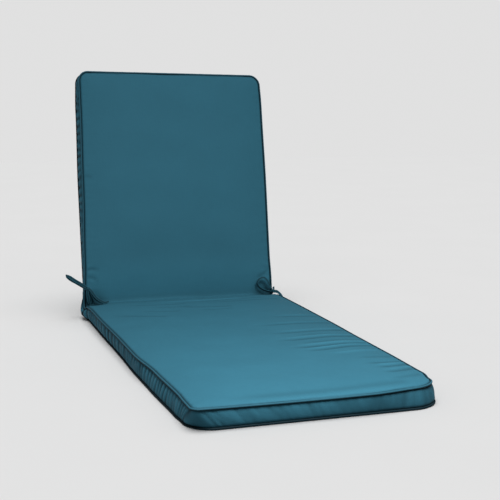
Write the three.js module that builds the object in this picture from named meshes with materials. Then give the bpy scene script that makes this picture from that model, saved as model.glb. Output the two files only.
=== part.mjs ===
// Sun lounger cushion: one boxed pad folded up at the hip, with piped seams and a ribbon tie on each side.
// Millimetres, +Z up. X runs across, Y from the foot to the head, and the seat lies flat at Z = 0.
import * as THREE from 'three';
import { mergeVertices } from 'three/addons/utils/BufferGeometryUtils.js';

// Driving sizes of the pad, along its front cloth; the corners are radii in plan, at each of the two seams
const SEAT_LENGTH = 1154;
const BACK_LENGTH = 710;
const SEAM_WIDTH = 596;
const SEAM_HEIGHT = 48;
const BACK_LEAN = THREE.MathUtils.degToRad(10.7);
const FOLD_RADIUS = 12;
const FOOT_CORNERS = { left: { rear: 58, front: 18 }, right: { rear: 78, front: 62 } };
const HEAD_CORNERS = { left: { rear: 30, front: 28 }, right: { rear: 34, front: 32 } };
const CORNER_ZONE = 110;

// The head end stands skew, and the front seam of the foot end is drawn in towards its right corner
const HEAD_SKEW = 4.5;
const FOOT_PULL = { reach: 14, from: 110, to: 265 };

// Padding: crown over the seams, and how far in from the edge it is reached
const CROWN = 6;
const CROWN_RUN = 110;
const FOLD_DIP = 3;
const FOLD_EASE = 45;
const EDGE_DIP_REACH = 75;
const FOOT_SAG = 3;
const END_REACH = 90;

// Piping, and the ledges of the pad that it nests on
const PIPING_RADIUS = 2.75;
const PIPING_SIDES = 8;
const FRONT_LEDGE = { inset: 5.2, rise: 0.2 };
const REAR_PIPING = { out: 0.9, height: 2.8 };
const REAR_LEDGE_INSET = 5;

// Boxing between the two seams, from the front one down: share of the seam height, the drop below that,
// how far it stands out, and whether it takes part in the puff of the edge rows
const BOXING_ROWS = [
  { share: 1, drop: 4.9, out: -0.1, puffs: 0 },
  { share: 0.7, drop: 0, out: 2.2, puffs: 1 },
  { share: 0.4, drop: 0, out: 2.6, puffs: 1 },
  { share: 0, drop: -6.2, out: -0.6, puffs: 0 },
];

// How the long edges wander along the pad, each value for the left and the right side: the seams outwards
// from their straight lines, the front seam downwards, and the middle of the boxing outwards at the fold
const EDGE_ROWS = [
  { along: -1154, front: [-2, -8], rear: [-2, 4], drop: [0, 3], puff: [0, 0] },
  { along: -1090, front: [-3, -5], rear: [0, 4], drop: [0, 1], puff: [0, 0] },
  { along: -1040, front: [-5, 4], rear: [3, 4], drop: [0, 0], puff: [0, 0] },
  { along: -840, front: [-2, 8], rear: [7, 6], drop: [1, 0], puff: [0, 0] },
  { along: -670, front: [8, 9], rear: [8, 7], drop: [1, 0], puff: [0, 0] },
  { along: -480, front: [8, 12], rear: [5, 10], drop: [0, 0], puff: [0, 0] },
  { along: -250, front: [11, 12], rear: [5, 10], drop: [0, 0], puff: [0, 0] },
  { along: -110, front: [10, 9], rear: [4, 8], drop: [0, -1], puff: [0, 0] },
  { along: -45, front: [10, 9], rear: [3, 8], drop: [3, 0], puff: [3, 3] },
  { along: -14, front: [10, 10], rear: [6, 9], drop: [11, 9], puff: [11, 8] },
  { along: 0, front: [9, 9], rear: [6, 8], drop: [16, 14], puff: [9, 6] },
  { along: 14, front: [8, 8], rear: [4, 6], drop: [11, 10], puff: [2, 1] },
  { along: 45, front: [6, 6], rear: [2, 5], drop: [5, 5], puff: [0, 0] },
  { along: 120, front: [4, 2], rear: [2, 3], drop: [0, 0], puff: [0, 0] },
  { along: 360, front: [-2, 3], rear: [2, 1], drop: [0, 0], puff: [0, 0] },
  { along: 600, front: [-6, 1], rear: [-2, -1], drop: [0, 0], puff: [0, 0] },
  { along: 710, front: [-6, -2], rear: [-6, -4], drop: [-2, 0], puff: [0, 0] },
];

// Where the pad's sections stand: shares of the quarter turn at a corner, places along the pad, and shares
// of its width
const CORNER_STEPS = [0, 0.25, 0.5, 0.75, 1];
const ZONE_STEPS = [0.33, 0.66];
const SEAT_STATIONS = [-1040, -980, -900, -780, -650, -520, -390, -270, -185, -125, -85, -58, -38, -22];
const BACK_STATIONS = [22, 38, 58, 85, 125, 190, 280, 370, 460, 540, 598];
const FOLD_STEPS = 10;
const WIDTH_SHARES = [0, 0.02, 0.055, 0.11, 0.2, 0.35, 0.5, 0.65, 0.8, 0.89, 0.945, 0.98, 1];

// Ribbons of the ties
const TIE_WIDTH = 8;
const TIE_THICKNESS = 1.8;
const TIE_STEP = 7;
const KNOT = { around: 12, up: 8 };

const CLOTH = { color: 0x376f84, roughness: 0.78, metalness: 0 };
const PIPING_CLOTH = { color: 0x2f6377, roughness: 0.75, metalness: 0 };
const TIE_CLOTH = { color: 0x22505f, roughness: 0.8, metalness: 0 };

const SIDES = ['left', 'right'];
const sideOf = (across) => (across < 0 ? 'left' : 'right');

// Turn of the back, and how far the arc of the fold reaches along the front cloth each way
const TURN = Math.PI / 2 - BACK_LEAN;
const FOLD_REACH = FOLD_RADIUS * Math.tan(TURN / 2);

// The origin is under the middle of the pad, halfway between the foot seam and the rear of the head end
const FOOT_Y = -(SEAT_LENGTH + PIPING_RADIUS);
const HEAD_Y = BACK_LENGTH * Math.sin(BACK_LEAN) + SEAM_HEIGHT * Math.cos(BACK_LEAN) + PIPING_RADIUS;
const ORIGIN = new THREE.Vector3(0, (FOOT_Y + HEAD_Y) / 2, 0);

// Folded place of a point of the flat pad: across, along from the fold, height over the rear cloth
function folded(across, along, height) {
  const arm = FOLD_RADIUS + SEAM_HEIGHT - height;
  const angle = TURN * THREE.MathUtils.clamp((along + FOLD_REACH) / (2 * FOLD_REACH), 0, 1);
  const before = Math.min(0, along + FOLD_REACH);
  const beyond = Math.max(0, along - FOLD_REACH);
  return new THREE.Vector3(
    across,
    before - FOLD_REACH + arm * Math.sin(angle) + beyond * Math.cos(TURN),
    SEAM_HEIGHT + FOLD_RADIUS - arm * Math.cos(angle) + beyond * Math.sin(TURN),
  );
}

// Value of one column of the edge rows on one side, at a place along the pad, eased from row to row
function edgeValue(column, side, along) {
  const entry = SIDES.indexOf(side);
  const next = EDGE_ROWS.findIndex((row) => row.along >= along);
  if (next <= 0) {
    return EDGE_ROWS.at(next)[column][entry];
  }
  const [from, to] = [EDGE_ROWS[next - 1], EDGE_ROWS[next]];
  const share = THREE.MathUtils.smoothstep(along, from.along, to.along);
  return THREE.MathUtils.lerp(from[column][entry], to[column][entry], share);
}

// Sections of the pad from foot to head. Turn runs round a corner, 0 at the end and a quarter turn at the
// side, and beyond is the share of the stretch from there to the end of the corner's zone.
function makeStations() {
  const straight = (along) => ({ along, end: 0, turn: Math.PI / 2, beyond: 0 });
  const turns = [
    ...CORNER_STEPS.map((step) => ({ turn: (step * Math.PI) / 2, beyond: 0 })),
    ...ZONE_STEPS.map((beyond) => ({ turn: Math.PI / 2, beyond })),
  ];
  const arc = Array.from({ length: FOLD_STEPS + 1 }, (_, k) => FOLD_REACH * ((2 * k) / FOLD_STEPS - 1));
  return [
    ...turns.map((turn) => ({ ...turn, along: -SEAT_LENGTH, end: -1, corners: FOOT_CORNERS })),
    ...[...SEAT_STATIONS, ...arc, ...BACK_STATIONS].map(straight),
    ...turns.toReversed().map((turn) => ({ ...turn, along: BACK_LENGTH, end: 1, corners: HEAD_CORNERS })),
  ];
}

const STATIONS = makeStations();
const LAST_STATION = STATIONS.length - 1;
const LAST_SHARE = WIDTH_SHARES.length - 1;

// Seam point at one side of a station, moved outwards in plan; level is 0 at the rear seam and 1 at the front
function sidePlace(station, side, out, level) {
  const corner = station.corners ? station.corners[side] : { rear: 0, front: 0 };
  const radius = THREE.MathUtils.lerp(corner.rear, corner.front, level);
  const run = radius * (1 - Math.cos(station.turn)) + station.beyond * (CORNER_ZONE - radius);
  const along = station.along - station.end * run;
  const [rear, front] = ['rear', 'front'].map((seam) => edgeValue(seam, side, along));
  const wander = THREE.MathUtils.lerp(rear, front, level);
  const rounding = radius * (1 - Math.sin(station.turn));
  const halfWidth = SEAM_WIDTH / 2 + wander - rounding + out * Math.sin(station.turn);
  return {
    across: side === 'left' ? -halfWidth : halfWidth,
    along: along + station.end * out * Math.cos(station.turn),
  };
}

const nearEnd = (distance) => 1 - THREE.MathUtils.smoothstep(distance, 0, END_REACH);

// How far the pad's ends are shifted along it, for a skew head end and a foot end drawn in at its front seam
function endShift(across, along, level) {
  const pulled = THREE.MathUtils.smoothstep(across, FOOT_PULL.from, FOOT_PULL.to) * level;
  const skew = (-2 * across) / SEAM_WIDTH;
  return FOOT_PULL.reach * pulled * nearEnd(along + SEAT_LENGTH)
    + HEAD_SKEW * skew * nearEnd(BACK_LENGTH - along);
}

// The same at a share of the station's width, with how far it lies in from the nearest edge
function seamPlace(station, share, out, level) {
  const [left, right] = SIDES.map((side) => sidePlace(station, side, out, level));
  const across = THREE.MathUtils.lerp(left.across, right.across, share);
  const straight = THREE.MathUtils.lerp(left.along, right.along, share);
  const along = straight + endShift(across, straight, level);
  const fromSide = Math.min(across - left.across, right.across - across);
  const fromEnd = Math.min(along + SEAT_LENGTH, BACK_LENGTH - along);
  return { across, along, inset: Math.max(0, Math.min(fromSide, fromEnd)) };
}

// Depth by which the crease is sharper than the arc of the fold
function creaseDepth(along) {
  const angle = (TURN / 2) * Math.max(0, 1 - Math.abs(along) / FOLD_REACH);
  return FOLD_RADIUS * (1 / Math.cos(angle) - 1);
}

// Height of the front cloth: crowned inside the seams, dipping into the fold and sagging a little at the foot
function frontHeight({ across, along, inset }) {
  const sideInset = Math.max(0, SEAM_WIDTH / 2 - Math.abs(across));
  const nearSide = (1 - Math.min(sideInset / EDGE_DIP_REACH, 1)) ** 2;
  const fromFold = 1 - Math.exp(-((along / FOLD_EASE) ** 2));
  const rise = 1 - (1 - Math.min(inset / CROWN_RUN, 1)) ** 2;
  const midFoot = Math.max(0, 1 - ((2 * across) / SEAM_WIDTH) ** 2);
  return SEAM_HEIGHT
    + (CROWN * rise + FOLD_DIP) * fromFold - FOLD_DIP - creaseDepth(along)
    - edgeValue('drop', sideOf(across), along) * nearSide
    - FOOT_SAG * nearEnd(along + SEAT_LENGTH) * midFoot;
}

// Stations and shares round the edge of the pad, anticlockwise seen from the front
function edgePlaces() {
  const columns = WIDTH_SHARES.map((_, column) => column);
  const inner = STATIONS.slice(1, -1).map((_, row) => row + 1);
  return [
    ...columns.map((column) => ({ row: 0, column })),
    ...inner.map((row) => ({ row, column: LAST_SHARE })),
    ...columns.toReversed().map((column) => ({ row: LAST_STATION, column })),
    ...inner.toReversed().map((row) => ({ row, column: 0 })),
  ];
}

const EDGE = edgePlaces();

// Height of the front seam where the given place of the edge meets it
function seamHeight(place) {
  return frontHeight({ ...seamPlace(STATIONS[place.row], WIDTH_SHARES[place.column], 0, 1), inset: 0 });
}

function edgePoint(place, out, height, level) {
  const { across, along } = seamPlace(STATIONS[place.row], WIDTH_SHARES[place.column], out, level);
  return folded(across, along, height);
}

function boxingPoint(place, { share, drop, out, puffs }) {
  const { across, along } = seamPlace(STATIONS[place.row], WIDTH_SHARES[place.column], 0, share);
  const puff = puffs * edgeValue('puff', sideOf(across), along);
  return edgePoint(place, out + puff, share * seamHeight(place) - drop, share);
}

function closedMesh(points, faces) {
  const geometry = new THREE.BufferGeometry();
  geometry.setAttribute('position', new THREE.Float32BufferAttribute(points.flatMap((p) => p.toArray()), 3));
  geometry.setIndex(faces.flat());
  geometry.computeVertexNormals();
  return geometry;
}

// Two triangles for each cell between neighbouring rings of the same number of points
function bandFaces(lower, upper) {
  return lower.flatMap((a, k) => {
    const next = (k + 1) % lower.length;
    return [[a, lower[next], upper[next]], [a, upper[next], upper[k]]];
  });
}

function padGeometry() {
  const points = [];
  const add = (point) => points.push(point) - 1;

  const panel = (out, level, heightAt) => STATIONS.map((station) => WIDTH_SHARES.map((share) => {
    const place = seamPlace(station, share, out, level);
    return add(folded(place.across, place.along, heightAt(place)));
  }));
  const front = panel(-FRONT_LEDGE.inset, 1, (place) => frontHeight(place) + FRONT_LEDGE.rise);
  const rear = panel(-REAR_LEDGE_INSET, 0, () => 0);

  const rings = [
    EDGE.map(({ row, column }) => front[row][column]),
    ...BOXING_ROWS.map((boxing) => EDGE.map((place) => add(boxingPoint(place, boxing)))),
    EDGE.map(({ row, column }) => rear[row][column]),
  ];

  const cells = (grid, flip) => grid.slice(1).flatMap((far, row) => far.slice(1).flatMap((corner, column) => {
    const [a, b, d] = [grid[row][column], grid[row][column + 1], far[column]];
    return flip ? [[a, corner, b], [a, d, corner]] : [[a, b, corner], [a, corner, d]];
  }));
  const faces = [...cells(front, false), ...cells(rear, true)];
  rings.slice(1).forEach((ring, k) => faces.push(...bandFaces(ring, rings[k])));
  return closedMesh(points, faces);
}

// Round cord along a closed line of centres, each with a direction that points out of the pad
function pipingGeometry(centres, outwards) {
  const count = centres.length;
  const points = centres.flatMap((centre, k) => {
    const tangent = centres[(k + 1) % count].clone().sub(centres[(k + count - 1) % count]).normalize();
    const out = outwards[k].clone().addScaledVector(tangent, -outwards[k].dot(tangent)).normalize();
    const up = tangent.clone().cross(out);
    return Array.from({ length: PIPING_SIDES }, (_, side) => {
      const angle = (2 * Math.PI * side) / PIPING_SIDES;
      return centre.clone()
        .addScaledVector(out, PIPING_RADIUS * Math.cos(angle))
        .addScaledVector(up, PIPING_RADIUS * Math.sin(angle));
    });
  });
  const ring = (k) => Array.from({ length: PIPING_SIDES }, (_, side) => (k % count) * PIPING_SIDES + side);
  return closedMesh(points, centres.flatMap((_, k) => bandFaces(ring(k), ring(k + 1))));
}

function seamPiping(out, heightAt, level) {
  const outer = out + PIPING_RADIUS;
  const centres = EDGE.map((place) => edgePoint(place, out, heightAt(place), level));
  const outwards = EDGE.map((place, k) => edgePoint(place, outer, heightAt(place), level).sub(centres[k]));
  return pipingGeometry(centres, outwards);
}

// Flat ribbon along a route. Its width keeps as closely as it can to the direction across, tilted by flare
// away from the middle of the route, as in a loop that opens like a funnel.
function ribbonGeometry({ route, across, flare = 0 }) {
  const knots = route.map((p) => new THREE.Vector3(...p));
  const middle = knots.reduce((sum, p) => sum.add(p), new THREE.Vector3()).divideScalar(knots.length);
  const curve = new THREE.CatmullRomCurve3(knots, false, 'centripetal');
  const steps = Math.ceil(curve.getLength() / TIE_STEP);
  const section = [[-0.5, 0], [-0.4, -0.5], [0.4, -0.5], [0.5, 0], [0.4, 0.5], [-0.4, 0.5]];
  const points = [];
  for (let k = 0; k <= steps; k++) {
    const centre = curve.getPointAt(k / steps);
    const tangent = curve.getTangentAt(k / steps);
    const away = centre.clone().sub(middle).normalize();
    const hint = new THREE.Vector3(...across).addScaledVector(away, flare);
    const wide = hint.clone().addScaledVector(tangent, -hint.dot(tangent)).normalize();
    const thick = tangent.clone().cross(wide);
    section.forEach(([w, t]) => points.push(centre.clone()
      .addScaledVector(wide, w * TIE_WIDTH)
      .addScaledVector(thick, t * TIE_THICKNESS)));
  }
  const sides = section.length;
  const ring = (k) => Array.from({ length: sides }, (_, side) => k * sides + side);
  const faces = [];
  for (let k = 0; k < steps; k++) {
    faces.push(...bandFaces(ring(k), ring(k + 1)));
  }
  for (let side = 1; side < sides - 1; side++) {
    faces.push([0, side + 1, side]);
    faces.push([steps * sides, steps * sides + side, steps * sides + side + 1]);
  }
  return closedMesh(points, faces);
}

// Knot: the small flattened ball that the crossing ribbons are pulled into
function knotGeometry([wide, deep, tall]) {
  const ball = new THREE.SphereGeometry(0.5, KNOT.around, KNOT.up);
  ball.rotateX(Math.PI / 2);
  ball.deleteAttribute('uv');
  ball.deleteAttribute('normal');
  ball.scale(wide, deep, tall);
  const knot = mergeVertices(ball);
  knot.computeVertexNormals();
  return knot;
}

// Ties, in the frame of the fold: X from the middle, Y from the fold line, Z from the rest surface
const TIES = {
  left: {
    knot: { at: [-298, -4, 93.5], size: [13, 10, 13] },
    ribbons: {
      root_a: {
        across: [1, 0, 0],
        route: [[-293, 2, 44], [-295, -1, 54], [-297, -3, 64], [-299, -5, 75], [-299, -5, 86]],
      },
      root_b: {
        across: [1, 0, 0],
        route: [[-284, 6, 44], [-284, 3, 54], [-287, 1, 65], [-291, 0, 76], [-297, 0, 86]],
      },
      loop: {
        across: [0.34, 0.72, 0.6],
        flare: 1.1,
        route: [
          [-304, -8, 99], [-320, -12, 111], [-338, -13, 123], [-354, -10, 134], [-364, -4, 137],
          [-360, 3, 131], [-344, 3, 118], [-324, 0, 106], [-306, -3, 95.5],
        ],
      },
      end_a: {
        across: [0.8, 0.1, 0.6],
        route: [
          [-292, -10, 91], [-285, -13, 82], [-278, -16, 71], [-269, -19, 62], [-258, -22, 55],
          [-248, -24, 51.5], [-238, -25, 55],
        ],
      },
      end_b: {
        across: [0.8, 0.1, 0.6],
        route: [
          [-291, -6, 86], [-286, -8, 76], [-281, -9, 66], [-273, -11, 58], [-263, -13, 53], [-251, -14, 49.5],
        ],
      },
    },
  },
  right: {
    knot: { at: [304, -13.5, 55.5], size: [13, 10, 12] },
    ribbons: {
      root_a: { across: [1, 0, 0.3], route: [[299, 3, 38], [300, -3, 42.5], [301.5, -8, 47.5]] },
      root_b: {
        across: [0, 0.5, 0.8],
        route: [[318, 25, 56], [316.5, 15, 60], [313, 6, 62], [309, -1, 62.5], [305, -6.5, 62]],
      },
      loop: {
        across: [0.1, 1, 0],
        flare: 1.1,
        route: [
          [298, -17, 61], [291, -19, 70], [285, -20, 82], [278, -19, 94], [267, -18, 102],
          [254, -17, 97], [247, -16, 85], [252, -16, 73], [265, -16, 63], [280, -16, 57], [295.5, -16, 54],
        ],
      },
      end_a: {
        across: [0.3, 0.3, 0.9],
        route: [
          [311.5, -19, 55], [316, -25, 52], [320.5, -31.5, 46.5], [324.5, -37, 38.5], [327, -42, 29.5],
          [327.5, -47, 20],
        ],
      },
      end_b: {
        across: [1, 0.4, 0],
        route: [
          [305, -21.5, 52], [308, -28, 53], [312, -36.5, 52.5], [316.5, -45, 47.5], [319.5, -51, 39],
          [320.5, -56, 29],
        ],
      },
    },
  },
};

const cushion = new THREE.Group();

function addPiece(name, geometry, finish) {
  const mesh = new THREE.Mesh(geometry, new THREE.MeshStandardMaterial(finish));
  mesh.name = name;
  mesh.position.sub(ORIGIN);
  cushion.add(mesh);
  return mesh;
}

function addTie(side) {
  const { knot, ribbons } = TIES[side];
  const ball = addPiece(`tie_${side}_knot`, knotGeometry(knot.size), TIE_CLOTH);
  ball.position.add(new THREE.Vector3(...knot.at));
  Object.entries(ribbons).forEach(([piece, ribbon]) =>
    addPiece(`tie_${side}_${piece}`, ribbonGeometry(ribbon), TIE_CLOTH));
}

addPiece('pad', padGeometry(), CLOTH);
addPiece('piping_front', seamPiping(0, seamHeight, 1), PIPING_CLOTH);
addPiece('piping_rear', seamPiping(REAR_PIPING.out, () => REAR_PIPING.height, 0), PIPING_CLOTH);
addTie('left');
addTie('right');

export default cushion;
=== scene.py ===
"""Sun lounger cushion, dressed round its packed frame: cover cloth, piping and ribbon ties in a pale studio.

Lengths are in metres. The cover is shaped flat, in places across, along and in height, and is then folded up
at the hip by the rule that the frame's solids follow. The file is laid out as an add-on and run as a script.
"""
from collections import namedtuple
from math import ceil, cos, pi, radians, sin, tan

import bpy
import numpy as np
from bpy.props import FloatProperty, FloatVectorProperty, PointerProperty
from mathutils import Matrix, Vector


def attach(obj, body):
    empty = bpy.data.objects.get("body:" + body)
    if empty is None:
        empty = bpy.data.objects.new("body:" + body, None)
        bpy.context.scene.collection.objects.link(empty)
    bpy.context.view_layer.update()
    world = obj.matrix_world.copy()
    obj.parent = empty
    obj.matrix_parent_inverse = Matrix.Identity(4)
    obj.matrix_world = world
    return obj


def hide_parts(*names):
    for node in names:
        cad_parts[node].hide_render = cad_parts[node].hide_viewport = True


bl_info = {
    "name": "Sun Lounger Cushion",
    "version": (1, 0, 0),
    "blender": (4, 5, 0),
    "location": "3D View > Sidebar > Cushion",
    "description": "Builds the cover, piping and ties of a sun lounger cushion folded up at the hip",
    "category": "Add Mesh",
}

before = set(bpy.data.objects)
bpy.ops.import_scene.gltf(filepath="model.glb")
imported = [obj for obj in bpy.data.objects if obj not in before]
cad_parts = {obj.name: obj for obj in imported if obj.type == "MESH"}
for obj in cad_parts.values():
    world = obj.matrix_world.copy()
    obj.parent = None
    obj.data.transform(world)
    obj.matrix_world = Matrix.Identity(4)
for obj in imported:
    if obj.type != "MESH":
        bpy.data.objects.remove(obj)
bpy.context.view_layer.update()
BODY = "root"

LEFT, RIGHT = 0, 1
SIDES = ("left", "right")


# Settings that a user would change

def amount(name, description, default, **options):
    return FloatProperty(name=name, description=description, default=default, **options)


def length(name, description, default):
    return amount(name, description, default, unit="LENGTH", precision=4)


def radii(name, default):
    return FloatVectorProperty(name=name, default=default, size=2, unit="LENGTH", precision=4,
                               description="Corner radii in plan, at the rear seam and at the front seam")


def angle(name, description, default):
    return amount(name, description, radians(default), subtype="ANGLE")


def share(name, description, default):
    return amount(name, description, default, subtype="FACTOR", min=0, max=1)


def colour(name, description, default):
    return FloatVectorProperty(name=name, description=description, default=default, subtype="COLOR",
                               min=0, max=1)


class CUSHION_PG_pad(bpy.types.PropertyGroup):
    """Sizes of the pad"""
    seat_length: length("Seat length", "Front cloth from the foot seam to the fold", 1.154)
    back_length: length("Back length", "Front cloth from the fold to the head seam", 0.710)
    width: length("Width", "Pad from side seam to side seam", 0.596)
    height: length("Height", "Boxing from rear seam to front seam", 0.048)
    back_lean: angle("Back lean", "How far the back leans from upright", 10.7)
    fold_radius: length("Fold radius", "Radius that the front cloth folds round at the hip", 0.012)
    foot_left_corner: radii("Foot corner, left", (0.058, 0.018))
    foot_right_corner: radii("Foot corner, right", (0.078, 0.062))
    head_left_corner: radii("Head corner, left", (0.030, 0.028))
    head_right_corner: radii("Head corner, right", (0.034, 0.032))
    head_skew: length("Head skew", "How much further up the head end reaches at its left", 0.0045)
    foot_pull: length("Foot pull", "How far the foot's front seam is drawn in at its right", 0.014)
    crown: length("Crown", "Rise of the padding over its seams", 0.006)
    shoulder: length("Shoulder", "Quick rise of the cloth beside the piping", 0.0044)
    ditch: length("Ditch", "How deep the cloth is stitched down beside the piping", 0.0020)
    bulge: length("Boxing bulge", "How far the boxing stands out between its seams", 0.0026)
    pucker: length("Seam pucker", "Height of the ruffles along the seams of the panels", 0.0009)
    gather: length("Boxing gather", "Height of the gathers in the boxing", 0.0024)
    fill: share("Fill", "How tightly the pad is filled", 0.85)


class CUSHION_PG_trim(bpy.types.PropertyGroup):
    """Sizes of the piping and the ties"""
    piping_radius: length("Piping radius", "Radius of the corded piping", 0.00275)
    tie_width: length("Tie width", "Width of the folded ribbon", 0.008)
    tie_thickness: length("Tie thickness", "Thickness of the folded ribbon", 0.0018)


class CUSHION_PG_cloth(bpy.types.PropertyGroup):
    """Colours and threads"""
    cover_colour: colour("Cover", "Colour of the cover cloth", (0.0158, 0.0710, 0.1020))
    # The piping is a little darker and the ribbons much darker than the cover's colour: painted shade for the
    # shadow they lie in
    piping_colour: colour("Piping", "Colour of the piping", (0.0135, 0.0610, 0.0880))
    tie_colour: colour("Ties", "Colour of the ribbons", (0.0085, 0.0370, 0.0520))
    thread_pitch: length("Thread pitch", "Spacing of the threads of the weave", 0.0009)
    sheen: share("Sheen", "Soft shine of the yarn at grazing angles", 0.008)


class CUSHION_PG_studio(bpy.types.PropertyGroup):
    """Light, floor and camera"""
    floor_colour: colour("Floor", "Colour of the floor", (0.80, 0.80, 0.80))
    sun_strength: amount("Overhead light", "Strength of the soft overhead light", 2.25)
    lamp_power: amount("Foot lamp", "Power of the lamp over the foot", 36.0, unit="POWER")
    room_light: amount("Room light", "Strength of the light from all round", 0.25)
    backdrop: amount("Backdrop", "Brightness of the room behind the floor", 0.75)
    camera_yaw: angle("Camera yaw", "Turn of the view from straight ahead to the right", 19.03)
    camera_pitch: angle("Camera pitch", "Tilt of the view down from level", 8.829)
    camera_roll: angle("Camera roll", "Turn of the view about its own line", -0.447)
    focal_length: amount("Focal length", "Focal length in millimetres, on a 36 mm sensor", 78.22)


# Flat pattern of the pad, and its fold

EdgeRow = namedtuple("EdgeRow", "along front rear drop puff")

# How the long edges wander along the pad, each value for the left and the right side: the seams outwards from
# their straight lines, the front seam downwards, and the middle of the boxing outwards at the fold
EDGE_ROWS = (
    EdgeRow(-1.154, (-0.002, -0.008), (-0.002, 0.004), (0, 0.003), (0, 0)),
    EdgeRow(-1.090, (-0.003, -0.005), (0, 0.004), (0, 0.001), (0, 0)),
    EdgeRow(-1.040, (-0.005, 0.004), (0.003, 0.004), (0, 0), (0, 0)),
    EdgeRow(-0.840, (-0.002, 0.008), (0.007, 0.006), (0.001, 0), (0, 0)),
    EdgeRow(-0.670, (0.008, 0.009), (0.008, 0.007), (0.001, 0), (0, 0)),
    EdgeRow(-0.480, (0.008, 0.012), (0.005, 0.010), (0, 0), (0, 0)),
    EdgeRow(-0.250, (0.011, 0.012), (0.005, 0.010), (0, 0), (0, 0)),
    EdgeRow(-0.110, (0.010, 0.009), (0.004, 0.008), (0, -0.001), (0, 0)),
    EdgeRow(-0.045, (0.010, 0.009), (0.003, 0.008), (0.003, 0), (0.003, 0.003)),
    EdgeRow(-0.014, (0.010, 0.010), (0.006, 0.009), (0.011, 0.009), (0.011, 0.008)),
    EdgeRow(0.000, (0.009, 0.009), (0.006, 0.008), (0.016, 0.014), (0.009, 0.006)),
    EdgeRow(0.014, (0.008, 0.008), (0.004, 0.006), (0.011, 0.010), (0.002, 0.001)),
    EdgeRow(0.045, (0.006, 0.006), (0.002, 0.005), (0.005, 0.005), (0, 0)),
    EdgeRow(0.120, (0.004, 0.002), (0.002, 0.003), (0, 0), (0, 0)),
    EdgeRow(0.360, (-0.002, 0.003), (0.002, 0.001), (0, 0), (0, 0)),
    EdgeRow(0.600, (-0.006, 0.001), (-0.002, -0.001), (0, 0), (0, 0)),
    EdgeRow(0.710, (-0.006, -0.002), (-0.006, -0.004), (-0.002, 0), (0, 0)),
)

# Reach of the corners, the crown, the fold, the dip at the side seams, the foot's sag and the skewed ends
CORNER_ZONE = 0.110
FOOT_PULL_SPAN = (0.110, 0.265)
CROWN_RUN = 0.110
FOLD_DIP = 0.003
FOLD_EASE = 0.045
EDGE_DIP_REACH = 0.075
FOOT_SAG = 0.003
END_REACH = 0.090

# How sharply the front cloth is creased in the fold, from left to right: places across, and shares of a full
# crease
CREASE_PLACES = (-0.30, -0.20, -0.14, 0.01, 0.06, 0.30)
CREASE_SHARES = (0.9, 0.7, 0.3, 0.4, 1.0, 1.15)

# Steps of the mesh: along the pad, closer at the fold, round a corner, and across from the side seams inwards
ROW_STEP = 0.0042
FOLD_ZONE = 0.030
FOLD_ROW_STEP = 0.0022
CORNER_STEPS = 12
EDGE_COLUMNS = (0, 0.0015, 0.0035, 0.006, 0.009, 0.0125, 0.017, 0.022, 0.028, 0.035, 0.043)
COLUMN_STEP = 0.0088


def lerp(start, end, part):
    return start + (end - start) * part


def eased(part):
    """Smooth step of a share from 0 to 1"""
    part = np.clip(part, 0, 1)
    return part * part * (3 - 2 * part)


def ramp(value, start, end):
    """Share that eases from 0 at the start to 1 at the end"""
    return eased((value - start) / (end - start))


def bell(offset, width):
    """Share from 1 at no offset to 0 well past the width"""
    return np.exp(-((offset / width) ** 2))


def eased_between(place, places, values):
    """Value at a place, eased from each known place to the next"""
    after = np.clip(np.searchsorted(places, place), 1, len(places) - 1)
    return lerp(values[after - 1], values[after], ramp(place, places[after - 1], places[after]))


def near_end(distance):
    """Share from 1 at an end of the pad to 0 further in"""
    return 1 - eased(distance / END_REACH)


def crown_share(inset):
    """Share of the crown's rise at a distance inside the seam"""
    return 1 - (1 - np.minimum(inset / CROWN_RUN, 1)) ** 2


def edge_value(column, side, along):
    """Value of one column of the edge rows on one side, at places along the pad"""
    values = np.array([getattr(row, column)[side] for row in EDGE_ROWS])
    return eased_between(along, np.array([row.along for row in EDGE_ROWS]), values)


def either_side(column, across, along):
    """The same, on whichever side each place lies"""
    return np.where(across < 0, edge_value(column, LEFT, along), edge_value(column, RIGHT, along))


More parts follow.
